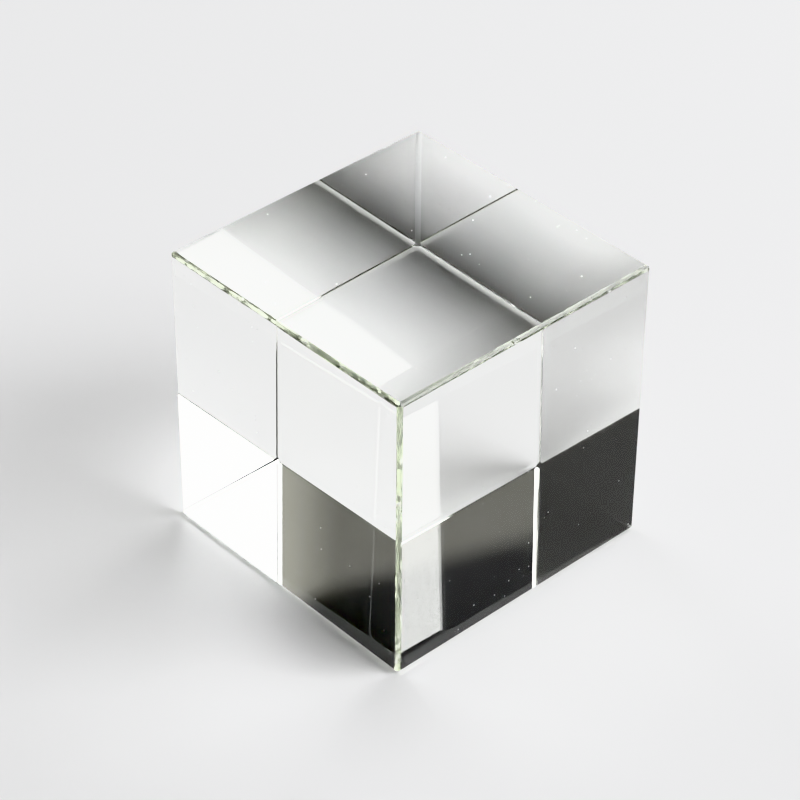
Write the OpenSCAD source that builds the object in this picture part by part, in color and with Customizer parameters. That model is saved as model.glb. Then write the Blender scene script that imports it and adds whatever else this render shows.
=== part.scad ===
// Solid optical glass block, the kind that photographers stand in a shot to
// bend and mirror the light. It is one piece of glass: six flat polished faces,
// a narrow polished bevel along each of the twelve edges, and a small facet
// that takes the point off each of the eight corners.
//
// Millimetres, +Z up. The origin is the centre of the face that it rests on.

/* [Block] */
// Length of the block along X, over its polished faces
block_x = 50; // [20:1:100]
// Length of the block along Y, over its polished faces
block_y = 50; // [20:1:100]
// Height of the block along Z, over its polished faces
block_z = 50; // [20:1:100]

/* [Edges and corners] */
// How far the bevel along each edge reaches into the two faces that meet there
edge_bevel = 0.6; // [0.2:0.05:3]
// How much is taken off the point where three bevels meet, along the diagonal
corner_blunt = 0.1; // [0.05:0.05:0.8]

/* [Hidden] */

glass_colour = [0.86, 0.93, 0.90, 0.45];

// Lengths of the block along its three axes, in the order X, Y, Z
block = [block_x, block_y, block_z];

// The bevel cutter is a square bar turned on its corner, centred on the sharp edge
bevel_bar = edge_bevel * sqrt(2);

// How far a bar runs past each end of the block, so that it cuts right through
overrun = 1;

// Distance from the sharp corner to the facet, along the diagonal. Three bevels
// meet half a bevel in from the corner on each axis.
corner_depth = edge_bevel / 2 * sqrt(3) + corner_blunt;

// The corner cutter is wide enough to cover the whole facet
corner_cutter = 4 * (edge_bevel + corner_blunt);

// Tilt that turns +Z onto the diagonal of a cube
diagonal_tilt = acos(1 / sqrt(3));

// Turns +Z onto the X, Y or Z axis
axis_turns = [[0, 90, 0], [-90, 0, 0], [0, 0, 0]];

// The plain block before its edges are ground, with one corner at the origin.
// The cuts below are placed from that corner too, so they meet at any size.
module sharp_block() {
    cube(block);
}

// Bars along the four edges that run in one axis direction
module edge_bars(axis) {
    for (near = [0, 1], far = [0, 1])
        translate([for (i = [0:2])
            block[i] * (i == axis ? 1 / 2 : i == (axis + 1) % 3 ? near : far)])
            rotate(axis_turns[axis])
                rotate([0, 0, 45])
                    cube([bevel_bar, bevel_bar, block[axis] + 2 * overrun], center = true);
}

// Takes the point off the corner at the origin
module corner_cut() {
    rotate([0, diagonal_tilt, 45])
        translate([0, 0, corner_depth - corner_cutter / 2])
            cube(corner_cutter, center = true);
}

// The same cut, mirrored into place at all eight corners
module corner_cuts() {
    for (x = [0, 1], y = [0, 1], z = [0, 1])
        translate([x * block_x, y * block_y, z * block_z])
            mirror([x, 0, 0])
                mirror([0, y, 0])
                    mirror([0, 0, z])
                        corner_cut();
}

// The block itself, standing on its lower face
module glass_block() {
    color(glass_colour)
        translate([-block_x / 2, -block_y / 2, 0])
            difference() {
                sharp_block();
                for (axis = [0:2])
                    edge_bars(axis);
                corner_cuts();
            }
}

glass_block();
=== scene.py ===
"""Looks of a solid block of optical glass that stands on white paper.

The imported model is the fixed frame. The block is modelled again here, in the box that the
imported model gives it, with what a glass shop leaves on it: twelve bevels ground by hand and a
little uneven, blunted corners, small nicks, and a few specks of dust.

Clear glass shows mostly what stands around it, so the softboxes and the walls of the room are
part of the looks too. They stand around the table at fixed places.
"""

import logging
import math
from collections.abc import Callable
from dataclasses import dataclass
from enum import Enum
from itertools import product

import bmesh
import bpy
from mathutils import Matrix, Vector


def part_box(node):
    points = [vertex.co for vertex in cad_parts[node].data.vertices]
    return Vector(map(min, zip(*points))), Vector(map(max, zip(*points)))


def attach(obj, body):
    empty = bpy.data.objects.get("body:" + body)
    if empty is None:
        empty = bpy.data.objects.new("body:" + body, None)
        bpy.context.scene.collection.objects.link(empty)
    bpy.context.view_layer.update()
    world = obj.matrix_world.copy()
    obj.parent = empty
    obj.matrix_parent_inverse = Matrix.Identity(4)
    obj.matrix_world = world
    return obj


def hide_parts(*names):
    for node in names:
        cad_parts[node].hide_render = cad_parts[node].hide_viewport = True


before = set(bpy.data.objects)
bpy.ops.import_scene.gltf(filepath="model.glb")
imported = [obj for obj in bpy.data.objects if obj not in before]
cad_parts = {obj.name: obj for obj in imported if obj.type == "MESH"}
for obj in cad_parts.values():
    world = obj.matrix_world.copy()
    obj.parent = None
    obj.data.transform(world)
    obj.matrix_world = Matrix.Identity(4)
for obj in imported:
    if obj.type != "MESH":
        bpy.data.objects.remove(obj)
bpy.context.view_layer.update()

log = logging.getLogger("glass_block")

MM = 0.001
# Closer to a plane than this, a vertex counts as lying on it.
TOUCH = 0.0002 * MM
WHITE = (1.0, 1.0, 1.0)


class Axis(Enum):
    """The three axes of the block, by the place of their number in a vector."""

    X = 0
    Y = 1
    Z = 2

    def next(self, steps: int = 1) -> "Axis":
        """The axis that many steps further on, going round from Z to X."""
        return Axis((self.value + steps) % 3)

    def direction(self) -> Vector:
        """The unit vector along this axis."""
        out = Vector((0.0, 0.0, 0.0))
        out[self.value] = 1.0
        return out


@dataclass(frozen=True)
class Edge:
    """One of the twelve edges of the block.

    Attributes:
        along: The axis that the edge runs along.
        first: The end of the next axis that the edge is at, -1 or 1.
        second: The end of the axis after that which the edge is at, -1 or 1.
    """

    along: Axis
    first: int
    second: int

    def outward(self) -> Vector:
        """The direction straight out of the edge, halfway between its two faces."""
        return (self.side(1) + self.side(2)).normalized()

    def side(self, which: int) -> Vector:
        """The outward direction of the first or the second face that meets at the edge."""
        return self.along.next(which).direction() * (self.first if which == 1 else self.second)

    def middle(self, low: Vector, high: Vector) -> Vector:
        """The point halfway along the sharp edge of a box.

        Args:
            low: Lowest corner of the box.
            high: Highest corner of the box.

        Returns:
            The point.
        """
        signs = self.side(1) + self.side(2)
        half = (high - low) / 2
        return (low + high) / 2 + Vector([half[i] * signs[i] for i in range(3)])


EDGES = tuple(Edge(along, u, v) for along in Axis for u, v in product((-1, 1), repeat=2))


@dataclass(frozen=True)
class GrindingPass:
    """One flat pass of the grinding wheel along an edge.

    Attributes:
        take: How much further than the main bevel the pass moves the edge back.
        roll: How far the pass leans from the first face towards the second.
        run_out: How far the pass drifts from level over the length of the edge.
    """

    take: float = 0.0
    roll: float = 0.0
    run_out: float = 0.0


@dataclass(frozen=True)
class Nick:
    """A small shallow nick in a bevel.

    Attributes:
        edge: The edge that it is on.
        place: Where it is along the edge, from 0 at the lowest end to 1 at the highest.
        length: Length along the edge.
        slant: How much further along the edge its one side lies than its other side.
        depth: How far it goes in.
    """

    edge: Edge
    place: float
    length: float
    slant: float
    depth: float


@dataclass(frozen=True)
class Waves:
    """Unevenness that grinding by hand leaves.

    Attributes:
        pitch: Rough length of one wave, across the bevel.
        height: Height from a trough to a crest.
        axis: The direction that the surface moves in, as the Displace modifier names it.
        group: The vertex group that moves.
        stretch: How many times longer the waves are along each axis.
    """

    pitch: float
    height: float
    axis: str
    group: str
    stretch: tuple[float, float, float] = (1.0, 1.0, 1.0)


@dataclass(frozen=True)
class CrownGlass:
    """The clear glass of the block.

    Attributes:
        ior: Refractive index.
        tint: What the glass does to white light over a metre.
        density: How strongly it does so.
        ground: Roughness of the bevels, which are less well polished than the faces.
        square: How square to the axes a surface is where it counts as a face, and as a bevel.
        dust: Roughness of a speck of dust.
        dust_pitch: Rough distance between two places that may hold a speck.
        dust_size: Radius of a speck.
    """

    ior: float = 1.517
    tint: tuple[float, float, float] = (0.87, 0.945, 0.74)
    density: float = 1.0
    ground: float = 0.05
    square: tuple[float, float] = (0.97, 0.85)
    dust: float = 0.35
    dust_pitch: float = 2.5 * MM
    dust_size: float = 0.1 * MM

    def material(self) -> bpy.types.Material:
        """Builds the material.

        Returns:
            A material for the whole block.
        """
        mat = bpy.data.materials.new("crown_glass")
        mat.use_nodes = True
        tree = mat.node_tree
        shader = tree.nodes["Principled BSDF"]
        shader.inputs["Base Color"].default_value = (*WHITE, 1)
        shader.inputs["Transmission Weight"].default_value = 1.0
        shader.inputs["Roughness"].default_value = 0.0
        shader.inputs["IOR"].default_value = self.ior
        volume = tree.nodes.new("ShaderNodeVolumeAbsorption")
        volume.inputs["Color"].default_value = (*self.tint, 1)
        volume.inputs["Density"].default_value = self.density
        tree.links.new(volume.outputs[0], tree.nodes["Material Output"].inputs["Volume"])
        tree.links.new(self.roughness(tree), shader.inputs["Roughness"])
        return mat

    def roughness(self, tree: bpy.types.NodeTree) -> bpy.types.NodeSocket:
        """Makes the specks of dust and the bevels rougher than the clean faces.

        The bevels are told apart by which way they face.

        Args:
            tree: The material's nodes.

        Returns:
            The roughness.
        """
        normal = tree.nodes.new("ShaderNodeTexCoord").outputs["Normal"]
        squares = tree.nodes.new("ShaderNodeVectorMath")
        squares.operation = "MULTIPLY"
        squareness = tree.nodes.new("ShaderNodeVectorMath")
        squareness.operation = "DOT_PRODUCT"
        to_range = tree.nodes.new("ShaderNodeMapRange")
        to_range.inputs["From Min"].default_value = self.square[0]
        to_range.inputs["From Max"].default_value = self.square[1]
        to_range.inputs["To Min"].default_value = 0.0
        to_range.inputs["To Max"].default_value = self.ground
        for i in range(2):
            tree.links.new(normal, squares.inputs[i])
            tree.links.new(squares.outputs["Vector"], squareness.inputs[i])
        tree.links.new(squareness.outputs["Value"], to_range.inputs["Value"])
        roughest = tree.nodes.new("ShaderNodeMath")
        roughest.operation = "MAXIMUM"
        tree.links.new(to_range.outputs["Result"], roughest.inputs[0])
        tree.links.new(self.specks(tree), roughest.inputs[1])
        return roughest.outputs["Value"]

    def specks(self, tree: bpy.types.NodeTree) -> bpy.types.NodeSocket:
        """Scatters fine specks of dust over the surface.

        Args:
            tree: The material's nodes.

        Returns:
            The roughness of the specks, and nothing between them.
        """
        cells = tree.nodes.new("ShaderNodeTexVoronoi")
        cells.inputs["Scale"].default_value = 1 / self.dust_pitch
        place = tree.nodes.new("ShaderNodeTexCoord").outputs["Object"]
        tree.links.new(place, cells.inputs["Vector"])
        within = tree.nodes.new("ShaderNodeMath")
        within.operation = "LESS_THAN"
        within.inputs[1].default_value = self.dust_size / self.dust_pitch
        tree.links.new(cells.outputs["Distance"], within.inputs[0])
        speck = tree.nodes.new("ShaderNodeMath")
        speck.operation = "MULTIPLY"
        speck.inputs[1].default_value = self.dust
        tree.links.new(within.outputs["Value"], speck.inputs[0])
        return speck.outputs["Value"]


@dataclass
class GlassBlock:
    """The block of glass, with flat faces, uneven bevels and blunted corners.

    Attributes:
        low: Lowest corner of the block.
        high: Highest corner of the block.
        edge_bevel: How far each bevel moves its edge back along both faces.
        corner_blunt: How far each corner is cut back past the meeting of its bevels.
        lengths: How many lengths each bevel is divided into.
        rows: Where each bevel is divided lengthwise, as shares of half its width.
        fade: Length over which the waves die out towards a corner.
        calm: Length next to a corner that has no waves.
        waves: The waves of the bevels and of their boundaries.
        passes: The passes of the wheel along each edge.
        nicks: The nicks in the bevels.
        crease: Angle from which two faces meet in a sharp line.
        merge: Distance below which two neighbouring vertices become one.
        facing: How well a face must face outwards along an edge to be part of its bevel.
        level: How level with an axis a face must be to run along it.
    """

    low: Vector
    high: Vector
    edge_bevel: float = 0.6 * MM
    corner_blunt: float = 0.1 * MM
    lengths: int = 120
    rows: tuple[float, ...] = (-0.75, -0.5, -0.25, 0.0, 0.25, 0.5, 0.75)
    fade: float = 2.0 * MM
    calm: float = 0.9 * MM
    crease: float = math.radians(3)
    merge: float = 0.003 * MM
    facing: float = 0.9
    level: float = 0.2
    waves: tuple[Waves, ...] = (
        Waves(9 * MM, 0.016 * MM, "X", "slide_x"),
        Waves(9 * MM, 0.016 * MM, "Y", "slide_y"),
        Waves(9 * MM, 0.016 * MM, "Z", "slide_z"),
        Waves(0.5 * MM, 0.003 * MM, "NORMAL", "crown_x", (30.0, 1.0, 1.0)),
        Waves(0.5 * MM, 0.003 * MM, "NORMAL", "crown_y", (1.0, 30.0, 1.0)),
        Waves(0.5 * MM, 0.003 * MM, "NORMAL", "crown_z", (1.0, 1.0, 30.0)),
    )
    passes: tuple[GrindingPass, ...] = (
        GrindingPass(),
        GrindingPass(-0.035 * MM, math.radians(7), 0.03 * MM),
        GrindingPass(-0.035 * MM, math.radians(-7), -0.04 * MM),
    )
    nicks: tuple[Nick, ...] = (
        Nick(Edge(Axis.Z, -1, -1), 0.88, 2.0 * MM, 2.5 * MM, 0.03 * MM),
        Nick(Edge(Axis.Z, -1, -1), 0.61, 1.2 * MM, 2.5 * MM, 0.05 * MM),
        Nick(Edge(Axis.Z, -1, -1), 0.33, 1.5 * MM, 3.5 * MM, 0.035 * MM),
        Nick(Edge(Axis.Z, -1, -1), 0.12, 2.0 * MM, 3.0 * MM, 0.025 * MM),
        Nick(Edge(Axis.Y, 1, -1), 0.68, 1.2 * MM, 1.0 * MM, 0.035 * MM),
        Nick(Edge(Axis.Y, 1, -1), 0.40, 1.5 * MM, 1.0 * MM, 0.045 * MM),
        Nick(Edge(Axis.Y, 1, -1), 0.13, 4.0 * MM, 1.0 * MM, 0.03 * MM),
        Nick(Edge(Axis.X, -1, 1), 0.45, 1.0 * MM, 0.5 * MM, 0.035 * MM),
    )

    def build(self) -> bpy.types.Object:
        """Models the block.

        Returns:
            The finished block, without a material.
        """
        block = self.rough_block()
        bpy.ops.object.mode_set(mode="EDIT")
        bpy.ops.mesh.select_mode(type="FACE")
        for edge in EDGES:
            self.grind(edge)
        self.blunt_corners()
        for edge in EDGES:
            self.divide_lengthwise(edge)
        for axis in Axis:
            self.divide_across(axis)
        bpy.ops.mesh.select_all(action="SELECT")
        bpy.ops.mesh.normals_make_consistent(inside=False)
        bpy.ops.object.mode_set(mode="OBJECT")
        self.group_vertices(block)
        for waves in self.waves:
            self.displace(block, waves)
        bpy.ops.object.mode_set(mode="EDIT")
        bpy.ops.mesh.select_mode(type="VERT")
        for nick in self.nicks:
            self.press(nick)
        bpy.ops.mesh.select_all(action="SELECT")
        bpy.ops.mesh.remove_doubles(threshold=self.merge)
        bpy.ops.object.mode_set(mode="OBJECT")
        bpy.ops.object.shade_smooth_by_angle(angle=self.crease)
        return block

    def rough_block(self) -> bpy.types.Object:
        """Adds the box that everything else is ground off from.

        Returns:
            The box, selected and active.
        """
        bpy.ops.object.select_all(action="DESELECT")
        bpy.ops.mesh.primitive_cube_add(
            size=1, location=(self.low + self.high) / 2, scale=self.high - self.low
        )
        block = bpy.context.object
        block.name = "polished_block"
        bpy.ops.object.transform_apply(location=True, rotation=True, scale=True)
        return block

    def grind(self, edge: Edge) -> None:
        """Takes the sharp edge off, in one or more passes.

        Args:
            edge: The edge to grind.
        """
        length = (self.high - self.low)[edge.along.value]
        for each in self.passes:
            normal = Matrix.Rotation(each.roll, 3, edge.along.direction()) @ edge.outward()
            lean = edge.along.direction() * (each.run_out / length)
            depth = (self.edge_bevel + each.take) / math.sqrt(2)
            point = edge.middle(self.low, self.high) - edge.outward() * depth
            self.cut_off(point, (normal + lean).normalized())

    def blunt_corners(self) -> None:
        """Cuts a small facet on each of the eight corners."""
        depth = self.edge_bevel / 2 * math.sqrt(3) + self.corner_blunt
        for signs in product((-1, 1), repeat=3):
            corner = Vector([(self.low, self.high)[s > 0][i] for i, s in enumerate(signs)])
            outward = Vector(signs).normalized()
            self.cut_off(corner - outward * depth, outward)

    def cut_off(self, point: Vector, normal: Vector) -> None:
        """Takes off what lies outside a plane, and closes the cut.

        Args:
            point: A point of the plane.
            normal: The plane's outward direction.
        """
        bpy.ops.mesh.select_all(action="SELECT")
        bpy.ops.mesh.bisect(
            plane_co=point, plane_no=normal, use_fill=True, clear_outer=True, threshold=TOUCH
        )

    def divide_lengthwise(self, edge: Edge) -> None:
        """Divides a bevel into rows that run along it.

        Args:
            edge: The edge that the bevel is on.
        """
        sideways = edge.along.direction().cross(edge.outward())
        half_width = self.edge_bevel / math.sqrt(2)
        outward = edge.outward()
        for row in self.rows:
            self.select_faces(lambda face: face.normal.dot(outward) > self.facing)
            point = edge.middle(self.low, self.high) + sideways * (row * half_width)
            bpy.ops.mesh.bisect(plane_co=point, plane_no=sideways, threshold=TOUCH)

    def divide_across(self, axis: Axis) -> None:
        """Divides the four bevels that run along an axis into short lengths.

        Args:
            axis: The axis that they run along.
        """
        i = axis.value
        first = self.low[i] + self.edge_bevel
        last = self.high[i] - self.edge_bevel
        for step in range(self.lengths + 1):
            self.select_faces(
                lambda face: abs(face.normal[i]) < self.level
                and max(abs(n) for n in face.normal) < self.facing
            )
            point = axis.direction() * (first + (last - first) * step / self.lengths)
            bpy.ops.mesh.bisect(plane_co=point, plane_no=axis.direction(), threshold=TOUCH)

    def select_faces(self, test: Callable[[bmesh.types.BMFace], bool]) -> None:
        """Selects faces of the mesh in edit mode, and nothing else.

        Args:
            test: Says whether a face is to be selected.
        """
        bpy.ops.mesh.select_all(action="DESELECT")
        mesh = bmesh.from_edit_mesh(bpy.context.edit_object.data)
        for face in mesh.faces:
            if test(face):
                face.select_set(True)

    def press(self, nick: Nick) -> None:
        """Presses a nick into a bevel.

        Args:
            nick: The nick.
        """
        bpy.ops.mesh.select_all(action="DESELECT")
        edge = nick.edge
        along = edge.along.direction()
        sideways = along.cross(edge.outward())
        start = self.low[edge.along.value]
        width = self.edge_bevel * math.sqrt(2)
        centre = start + nick.place * (self.high - self.low)[edge.along.value]
        sharp = edge.middle(self.low, self.high)
        mesh = bmesh.from_edit_mesh(bpy.context.edit_object.data)
        for vertex in mesh.verts:
            offset = vertex.co - sharp
            inside = all(self.low[i] + TOUCH < vertex.co[i] < self.high[i] - TOUCH for i in range(3))
            share = offset.dot(sideways) / width
            shift = vertex.co[edge.along.value] - centre - share * nick.slant
            near = abs(share) < 1 and offset.dot(edge.outward()) > -width
            if inside and near and abs(shift) < nick.length / 2:
                vertex.select_set(True)
        bpy.ops.transform.translate(value=-edge.outward() * nick.depth)

    def group_vertices(self, block: bpy.types.Object) -> None:
        """Sorts the vertices by how they may move without leaving the flat faces.

        Args:
            block: The block.
        """
        groups = {name: block.vertex_groups.new(name=name) for name in
                  ("slide_x", "slide_y", "slide_z", "crown_x", "crown_y", "crown_z")}
        for vertex in block.data.vertices:
            gaps = [min(vertex.co[i] - self.low[i], self.high[i] - vertex.co[i]) for i in range(3)]
            on_faces = [i for i in range(3) if gaps[i] < TOUCH]
            order = sorted(range(3), key=lambda i: gaps[i])
            to_corner = gaps[order[2]]
            weight = min(max((to_corner - self.calm) / self.fade, 0.0), 1.0)
            if len(on_faces) == 0:
                groups["crown_" + "xyz"[order[2]]].add([vertex.index], weight, "REPLACE")
            elif len(on_faces) == 1:
                groups["slide_" + "xyz"[order[1]]].add([vertex.index], weight, "REPLACE")

    def displace(self, block: bpy.types.Object, waves: Waves) -> None:
        """Moves one group of vertices by a smooth random pattern.

        Args:
            block: The block.
            waves: The pattern, its direction and its vertex group.
        """
        texture = bpy.data.textures.new("grinding_waves", "CLOUDS")
        texture.noise_scale = waves.pitch
        texture.noise_depth = 1
        modifier = block.modifiers.new("grinding_waves", "DISPLACE")
        modifier.texture = texture
        stretcher = bpy.data.objects.new("stretcher", None)
        stretcher.scale = waves.stretch
        bpy.context.scene.collection.objects.link(stretcher)
        modifier.texture_coords = "OBJECT"
        modifier.texture_coords_object = stretcher
        modifier.direction = waves.axis
        modifier.strength = waves.height
        modifier.mid_level = 0.5
        modifier.vertex_group = waves.group
        bpy.context.view_layer.update()
        bpy.ops.object.modifier_apply(modifier=modifier.name)
        bpy.data.textures.remove(texture)
        bpy.data.objects.remove(stretcher)


@dataclass(frozen=True)
class Camera:
    """A long lens that looks down at the block past its nearest vertical edge.

    Attributes:
        azimuth: Direction that the camera looks in, on the plan, from X towards Y.
        elevation: How far the camera looks down.
        roll: How far the camera turns about its own line of sight.
        distance: From the middle of the block, in edges of the block.
        focal: Focal length in millimetres.
        slide: How far the camera moves to its right and upwards, in edges of the block.
        near: Nearest distance that the camera sees.
    """

    azimuth: float = math.radians(47.17)
    elevation: float = math.radians(37.63)
    roll: float = math.radians(0.397)
    distance: float = 9.147
    focal: float = 136.25
    slide: tuple[float, float] = (-0.02624, -0.01907)
    near: float = 0.01

    def build(self, middle: Vector, edge: float) -> bpy.types.Object:
        """Sets the camera up and makes it the scene's own.

        Args:
            middle: Middle of the block.
            edge: Length of an edge of the block.

        Returns:
            The camera.
        """
        level = Vector((math.cos(self.azimuth), math.sin(self.azimuth), 0.0))
        back = Vector((0, 0, math.sin(self.elevation))) - level * math.cos(self.elevation)
        turn = Matrix.Rotation(self.roll, 3, back)
        right = turn @ Axis.Z.direction().cross(back).normalized()
        up = back.cross(right)
        offset = back * self.distance + right * self.slide[0] + up * self.slide[1]
        data = bpy.data.cameras.new("camera")
        data.lens = self.focal
        data.clip_start = self.near
        camera = bpy.data.objects.new("camera", data)
        turned = Matrix((right, up, back)).transposed().to_4x4()
        camera.matrix_world = Matrix.Translation(middle + offset * edge) @ turned
        bpy.context.scene.collection.objects.link(camera)
        bpy.context.scene.camera = camera
        return camera


@dataclass(frozen=True)
class Softbox:
    """A rectangular, evenly lit box of light that faces the block.

    Attributes:
        name: Name of the light.
        azimuth: Direction of the box on the plan, seen from the block.
        elevation: Height of the box above the level of the table, as an angle.
        distance: From the middle of the block.
        size: Width and height of the box.
        radiance: How bright its face is.
    """

    name: str
    azimuth: float
    elevation: float
    distance: float
    size: tuple[float, float]
    radiance: float

    def build(self, target: Vector) -> bpy.types.Object:
        """Hangs the box up.

        Args:
            target: The point that the box faces.

        Returns:
            The light.
        """
        data = bpy.data.lights.new(self.name, "AREA")
        data.shape = "RECTANGLE"
        data.size, data.size_y = self.size
        data.energy = self.radiance * math.pi * self.size[0] * self.size[1]
        light = bpy.data.objects.new(self.name, data)
        flat = math.cos(self.elevation)
        way = Vector((
            flat * math.cos(self.azimuth),
            flat * math.sin(self.azimuth),
            math.sin(self.elevation),
        ))
        turn = way.to_track_quat("Z", "Y").to_matrix().to_4x4()
        light.matrix_world = Matrix.Translation(target + way * self.distance) @ turn
        light.visible_camera = False
        bpy.context.scene.collection.objects.link(light)
        return light


@dataclass(frozen=True)
class Table:
    """White paper under the block.

    Attributes:
        size: Width and depth of the sheet.
        gap: Air between the paper and the underside of the block.
        colour: Colour of the paper.
    """

    size: float = 6.0
    gap: float = 0.05 * MM
    colour: tuple[float, float, float] = (0.84, 0.842, 0.858)

    def build(self) -> bpy.types.Object:
        """Lays the paper.

        Returns:
            The sheet.
        """
        bpy.ops.object.select_all(action="DESELECT")
        bpy.ops.mesh.primitive_plane_add(size=self.size, location=(0, 0, -self.gap))
        sheet = bpy.context.object
        sheet.name = "table_paper"
        mat = bpy.data.materials.new("table_paper")
        mat.use_nodes = True
        shader = mat.node_tree.nodes["Principled BSDF"]
        shader.inputs["Base Color"].default_value = (*self.colour, 1)
        shader.inputs["Roughness"].default_value = 1.0
        shader.inputs["Specular IOR Level"].default_value = 0.0
        sheet.data.materials.append(mat)
        return sheet


@dataclass(frozen=True)
class Room:
    """The room around the table: a lit sweep and a dim wall behind the block, and a dark ceiling.

    Attributes:
        facing: Direction of the middle of the wall, on the plan.
        spread: Cosines from that direction where the wall starts and is full.
        sweep: How bright the foot of the wall is.
        sweep_fades: Heights, as sines of the angle above the table, where that brightness fades.
        wall: How bright the wall is above its foot.
        wall_ends: Heights, as sines, where the wall starts and ends to fade into the ceiling.
        wall_tilt: How much higher the wall ends towards the left, for each unit to the left.
        patch: How much brighter the left part of the wall is.
        patch_starts: Distances to the left where that part starts and is full.
        opposite: How bright the wall behind the camera and to the right is.
        seen: How bright the room looks where the camera sees it past the table.
        colour: Colour of the walls and of the sweep.
    """

    facing: float = math.radians(47)
    spread: tuple[float, float] = (0.03, 0.45)
    sweep: float = 0.5
    sweep_fades: tuple[float, float] = (0.26, 0.5)
    wall: float = 0.16
    wall_ends: tuple[float, float] = (0.6495, 0.658)
    wall_tilt: float = 0.21
    patch: float = 0.27
    patch_starts: tuple[float, float] = (0.02, 0.042)
    opposite: float = 0.025
    seen: float = 0.9
    colour: tuple[float, float, float] = (1.0, 0.985, 0.86)

    def build(self) -> None:
        """Makes the room the scene's world."""
        world = bpy.data.worlds.new("room")
        bpy.context.scene.world = world
        world.use_nodes = True
        tree = world.node_tree
        background = tree.nodes["Background"]
        way = tree.nodes.new("ShaderNodeTexCoord").outputs["Generated"]
        level = (math.cos(self.facing), math.sin(self.facing))
        ahead = self.along(tree, way, (level[0], level[1], 0))
        left = self.along(tree, way, (-level[1], level[0], 0))
        height = self.along(tree, way, (0, 0, 1))
        tilted = self.combine(tree, "SUBTRACT", height, self.combine(tree, "MULTIPLY", left, self.wall_tilt))
        below_end = self.ramp(tree, tilted, self.wall_ends, (1, 0))
        wall = self.ramp(tree, left, self.patch_starts, (self.wall, self.wall + self.patch))
        wall = self.combine(tree, "MULTIPLY", wall, below_end)
        foot = self.ramp(tree, height, self.sweep_fades, (self.sweep, 0))
        facing = self.ramp(tree, ahead, self.spread, (0, 1))
        glow = self.combine(tree, "MULTIPLY", self.combine(tree, "ADD", wall, foot), facing)
        behind = self.ramp(tree, ahead, self.spread, (self.opposite, 0))
        light = self.combine(tree, "ADD", glow, behind)
        camera = tree.nodes.new("ShaderNodeLightPath").outputs["Is Camera Ray"]
        mix = tree.nodes.new("ShaderNodeMix")
        mix.inputs["B"].default_value = self.seen
        tree.links.new(camera, mix.inputs["Factor"])
        tree.links.new(light, mix.inputs["A"])
        tree.links.new(mix.outputs["Result"], background.inputs["Strength"])
        background.inputs["Color"].default_value = (*self.colour, 1)

    def along(
        self,
        tree: bpy.types.NodeTree,
        way: bpy.types.NodeSocket,
        direction: tuple[float, float, float],
    ) -> bpy.types.NodeSocket:
        """Measures how far a direction points along another.

        Args:
            tree: The world's node tree.
            way: The socket of the direction.
            direction: The direction to measure along.

        Returns:
            The socket with the cosine between them.
        """
        node = tree.nodes.new("ShaderNodeVectorMath")
        node.operation = "DOT_PRODUCT"
        node.inputs[1].default_value = direction
        tree.links.new(way, node.inputs[0])
        return node.outputs["Value"]

    def ramp(
        self,
        tree: bpy.types.NodeTree,
        value: bpy.types.NodeSocket,
        span: tuple[float, float],
        ends: tuple[float, float],
    ) -> bpy.types.NodeSocket:
        """Adds a smooth step between two values.

        Args:
            tree: The world's node tree.
            value: The socket that is read.
            span: The values of the socket where the step starts and ends.
            ends: What the step gives before its start and after its end.

        Returns:
            The socket with the result.
        """
        node = tree.nodes.new("ShaderNodeMapRange")
        node.interpolation_type = "SMOOTHSTEP"
        node.inputs["From Min"].default_value, node.inputs["From Max"].default_value = span
        node.inputs["To Min"].default_value, node.inputs["To Max"].default_value = ends
        tree.links.new(value, node.inputs["Value"])
        return node.outputs["Result"]

    def combine(
        self,
        tree: bpy.types.NodeTree,
        operation: str,
        first: bpy.types.NodeSocket,
        second: bpy.types.NodeSocket | float,
    ) -> bpy.types.NodeSocket:
        """Adds a math node.

        Args:
            tree: The world's node tree.
            operation: What the node does, as Blender names it.
            first: The first socket that is read.
            second: The second socket, or a plain number.

        Returns:
            The socket with the result.
        """
        node = tree.nodes.new("ShaderNodeMath")
        node.operation = operation
        tree.links.new(first, node.inputs[0])
        if isinstance(second, bpy.types.NodeSocket):
            tree.links.new(second, node.inputs[1])
        else:
            node.inputs[1].default_value = second
        return node.outputs[0]


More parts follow.
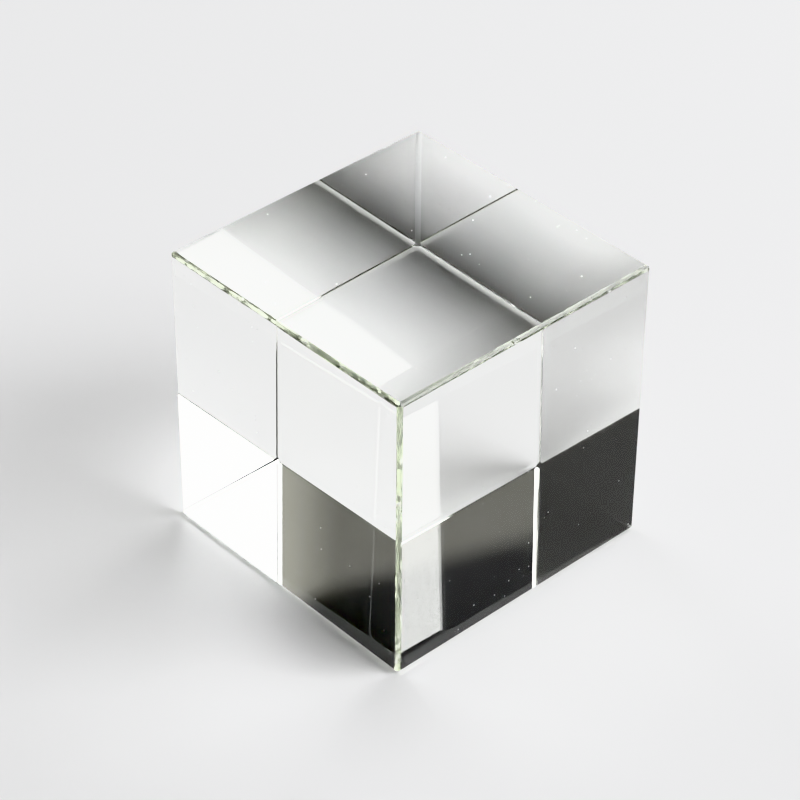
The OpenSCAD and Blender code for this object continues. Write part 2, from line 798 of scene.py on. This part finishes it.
@dataclass(frozen=True)
class LightPaths:
    """How long light is followed, and how it is shown.

    Attributes:
        glass_bounces: Times that light may turn inside the glass.
        paper_bounces: Times that light may scatter off the paper.
        view: Name of the tone curve.
        black: Brightness that is shown as black.
    """

    glass_bounces: int = 64
    paper_bounces: int = 4
    view: str = "Khronos PBR Neutral"
    black: float = 0.03

    def apply(self) -> None:
        """Writes the settings into the scene."""
        scene = bpy.context.scene
        scene.view_settings.view_transform = self.view
        scene.view_settings.look = "None"
        scene.view_settings.use_curve_mapping = True
        scene.view_settings.curve_mapping.black_level = (self.black,) * 3
        scene.view_settings.curve_mapping.update()
        scene.cycles.max_bounces = self.glass_bounces
        scene.cycles.transmission_bounces = self.glass_bounces
        scene.cycles.glossy_bounces = self.glass_bounces
        scene.cycles.diffuse_bounces = self.paper_bounces
        scene.cycles.blur_glossy = 0.0
        scene.cycles.use_denoising = True


def lights() -> tuple[Softbox, ...]:
    """The softboxes around the table."""
    return (
        Softbox(
            name="key",
            azimuth=math.radians(-62),
            elevation=math.radians(45),
            distance=1.0,
            size=(0.75, 0.5),
            radiance=6.1,
        ),
        Softbox(
            name="key_core",
            azimuth=math.radians(-47.2),
            elevation=math.radians(37.6),
            distance=0.95,
            size=(0.25, 0.25),
            radiance=4.5,
        ),
        Softbox(
            name="overhead_front",
            azimuth=math.radians(-50),
            elevation=math.radians(74),
            distance=1.0,
            size=(0.35, 0.35),
            radiance=4.1,
        ),
        Softbox(
            name="overhead_back",
            azimuth=math.radians(45),
            elevation=math.radians(76),
            distance=1.0,
            size=(0.35, 0.35),
            radiance=2.7,
        ),
        Softbox(
            name="side_left",
            azimuth=math.radians(82),
            elevation=math.radians(28),
            distance=1.0,
            size=(0.32, 0.5),
            radiance=5.0,
        ),
        Softbox(
            name="side_right",
            azimuth=math.radians(7),
            elevation=math.radians(28),
            distance=1.0,
            size=(0.32, 0.5),
            radiance=5.1,
        ),
        Softbox(
            name="sweep",
            azimuth=math.radians(43.5),
            elevation=math.radians(8),
            distance=1.0,
            size=(0.8, 0.25),
            radiance=2.4,
        ),
    )


def main() -> None:
    """Builds the block, the table and the lights in order, and reports each piece."""
    logging.basicConfig(level=logging.INFO, format="%(message)s")
    low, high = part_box("glass_block")
    middle = (low + high) / 2
    edge = high.z - low.z
    Camera().build(middle, edge)
    block = GlassBlock(low, high).build()
    block.data.materials.append(CrownGlass().material())
    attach(block, "root")
    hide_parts("glass_block")
    log.info("%s: %d faces", block.name, len(block.data.polygons))
    Table().build()
    for light in lights():
        light.build(middle)
    Room().build()
    LightPaths().apply()


if __name__ == "__main__":
    main()
